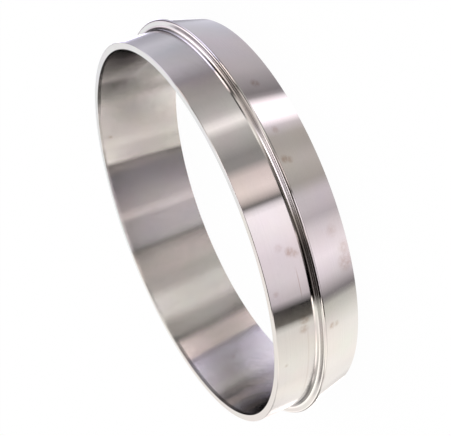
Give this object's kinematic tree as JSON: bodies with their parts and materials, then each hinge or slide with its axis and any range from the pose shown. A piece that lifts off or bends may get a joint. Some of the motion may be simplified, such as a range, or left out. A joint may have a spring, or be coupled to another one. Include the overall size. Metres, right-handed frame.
{
  "type": "cone weld fitting",
  "caption": "Short turned steel ring with a straight end for welding to a tube, a low collar that a union nut pulls on, a tapered sealing face and a narrowing bore.",
  "frame": {"origin": "centre of the cone end's flat face, which the ring stands on", "axes": "+Z along the ring's axis, from the cone end to the weld end"},
  "size_m": [0.1194, 0.1194, 0.0248],
  "materials": {
    "turned_steel": "fine turned stainless steel, with straight bright and dark reflections along the axis"
  },
  "bodies": {
    "root": {"cone_weld_fitting": "turned_steel"}
  },
  "joints": []
}
